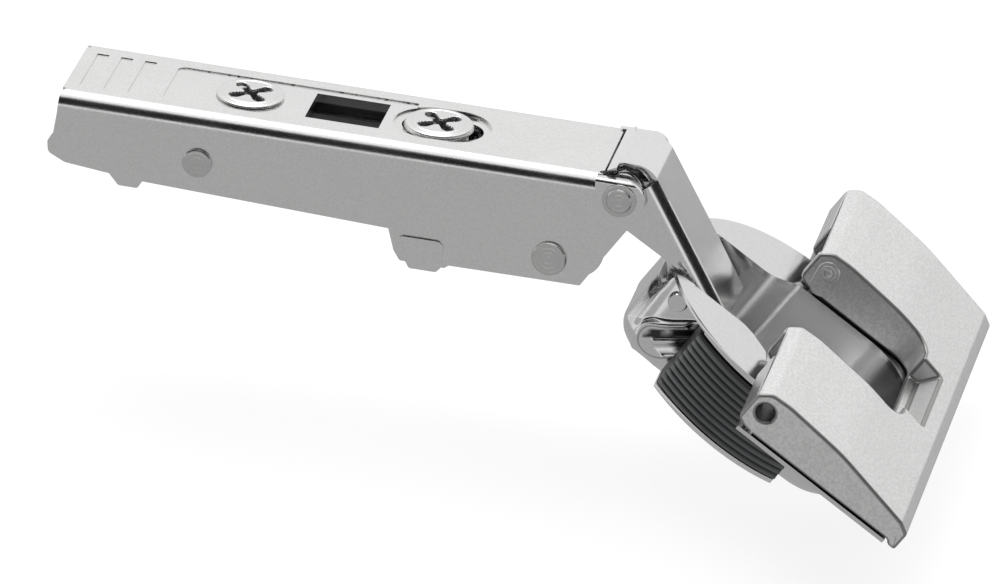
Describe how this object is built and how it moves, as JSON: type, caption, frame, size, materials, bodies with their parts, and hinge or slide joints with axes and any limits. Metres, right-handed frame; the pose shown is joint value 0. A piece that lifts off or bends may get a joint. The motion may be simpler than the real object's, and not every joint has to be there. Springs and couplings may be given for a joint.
{
  "type": "concealed cup hinge",
  "caption": "Concealed cabinet hinge with a clip-on arm, two coupled links, height and depth screws, and a steel cup clamped in the door by a wide flap lever.",
  "frame": {"origin": "mid-plane of the arm on the mounting plate's seat, at the adapter's front hook", "axes": "+X along the arm towards the cup, +Z away from the mounting plate, Y across the arm"},
  "size_m": [0.1068, 0.059, 0.0373],
  "materials": {
    "nickel_steel": "satin nickel plate",
    "bright_steel": "bright nickel plate over drawn steel",
    "die_cast": "nickel plated die casting, finely granular",
    "screw_steel": "nickel plate",
    "spring_steel": "oiled spring steel",
    "grey_plastic": "moulded, ribbed"
  },
  "bodies": {
    "mounting_adapter": {"adapter": "nickel_steel", "clip_pin": "nickel_steel", "clip_spring": "spring_steel"},
    "clip": {"clip_lever": "nickel_steel"},
    "carriage": {"rear_rivet": "nickel_steel"},
    "arm_body": {"arm": "nickel_steel", "link_rivet": "nickel_steel", "spring_rivet": "nickel_steel", "closing_spring": "spring_steel"},
    "depth_cam": {"depth_screw": "screw_steel"},
    "height_ring": {"side_ring": "screw_steel"},
    "height_screw": {"side_screw": "screw_steel"},
    "lower_link": {"outer_link": "bright_steel"},
    "cup_body": {"cup": "bright_steel", "pin_outer": "bright_steel", "pin_inner": "bright_steel", "jaw_carrier_near": "bright_steel", "jaw_carrier_far": "bright_steel", "guide_plate_near": "bright_steel", "guide_plate_far": "bright_steel"},
    "upper_link": {"inner_link": "nickel_steel"},
    "flap": {"flap_lever": "die_cast", "flap_pin_near": "nickel_steel", "flap_pin_far": "nickel_steel"},
    "near_jaw": {"jaw_near": "grey_plastic"},
    "far_jaw": {"jaw_far": "grey_plastic"}
  },
  "joints": [
    {"name": "clip_release", "type": "hinge", "parent": "mounting_adapter", "child": "clip", "pos_m": [-0.0376, 0, 0.0097], "axis": [0, 1, 0], "range_deg": [0, 12], "stiffness_Nm_per_rad": 0.05, "springref_deg": -11.46},
    {"name": "depth_slide", "type": "slide", "parent": "mounting_adapter", "child": "carriage", "axis": [1, 0, 0], "range_m": [-0.002, 0.001]},
    {"name": "height_tilt", "type": "hinge", "parent": "carriage", "child": "arm_body", "pos_m": [-0.0266, 0, 0.00975], "axis": [0, -1, 0], "range_deg": [-2, 2]},
    {"name": "depth_turn", "type": "hinge", "parent": "arm_body", "child": "depth_cam", "pos_m": [-0.02253, 0, 0.0157], "axis": [0, 0, 1], "range_deg": [-150, 80]},
    {"name": "ring_lift", "type": "slide", "parent": "mounting_adapter", "child": "height_ring", "axis": [0, 0, 1], "range_m": [-0.001, 0.001]},
    {"name": "height_turn", "type": "hinge", "parent": "height_ring", "child": "height_screw", "pos_m": [-0.00017, 0, 0.0157], "axis": [0, 0, 1], "range_deg": [-340, 340]},
    {"name": "lower_link_turn", "type": "hinge", "parent": "arm_body", "child": "lower_link", "pos_m": [0.0228, 0, 0.0133], "axis": [0, 1, 0], "range_deg": [0, 2.7]},
    {"name": "cup_fold", "type": "hinge", "parent": "lower_link", "child": "cup_body", "pos_m": [0.03194, 0, -0.0025], "axis": [0, -1, 0], "range_deg": [0, 124.7]},
    {"name": "upper_link_turn", "type": "hinge", "parent": "cup_body", "child": "upper_link", "pos_m": [0.03077, 0, 0.00208], "axis": [0, 1, 0], "range_deg": [0, 160]},
    {"name": "flap_turn", "type": "hinge", "parent": "cup_body", "child": "flap", "pos_m": [0.04499, 0, -0.00009], "axis": [0, 1, 0], "range_deg": [-75, 0]},
    {"name": "near_jaw_slide", "type": "slide", "parent": "cup_body", "child": "near_jaw", "axis": [0, 1, 0], "range_m": [0, 0.0008]},
    {"name": "far_jaw_slide", "type": "slide", "parent": "cup_body", "child": "far_jaw", "axis": [0, -1, 0], "range_m": [0, 0.0008]}
  ],
  "couplings": [
    {"joint": "depth_turn", "follows": "depth_slide", "rad_per_m": 1250},
    {"joint": "ring_lift", "follows": "height_tilt", "m_per_rad": 0.02643},
    {"joint": "height_turn", "follows": "height_tilt", "ratio": 166.06},
    {"joint": "lower_link_turn", "follows": "cup_fold", "ratio": 0.020064},
    {"joint": "upper_link_turn", "follows": "cup_fold", "ratio": 1.2484},
    {"joint": "near_jaw_slide", "follows": "flap_turn", "m_per_rad": -0.0006035},
    {"joint": "far_jaw_slide", "follows": "flap_turn", "m_per_rad": -0.0006035}
  ]
}
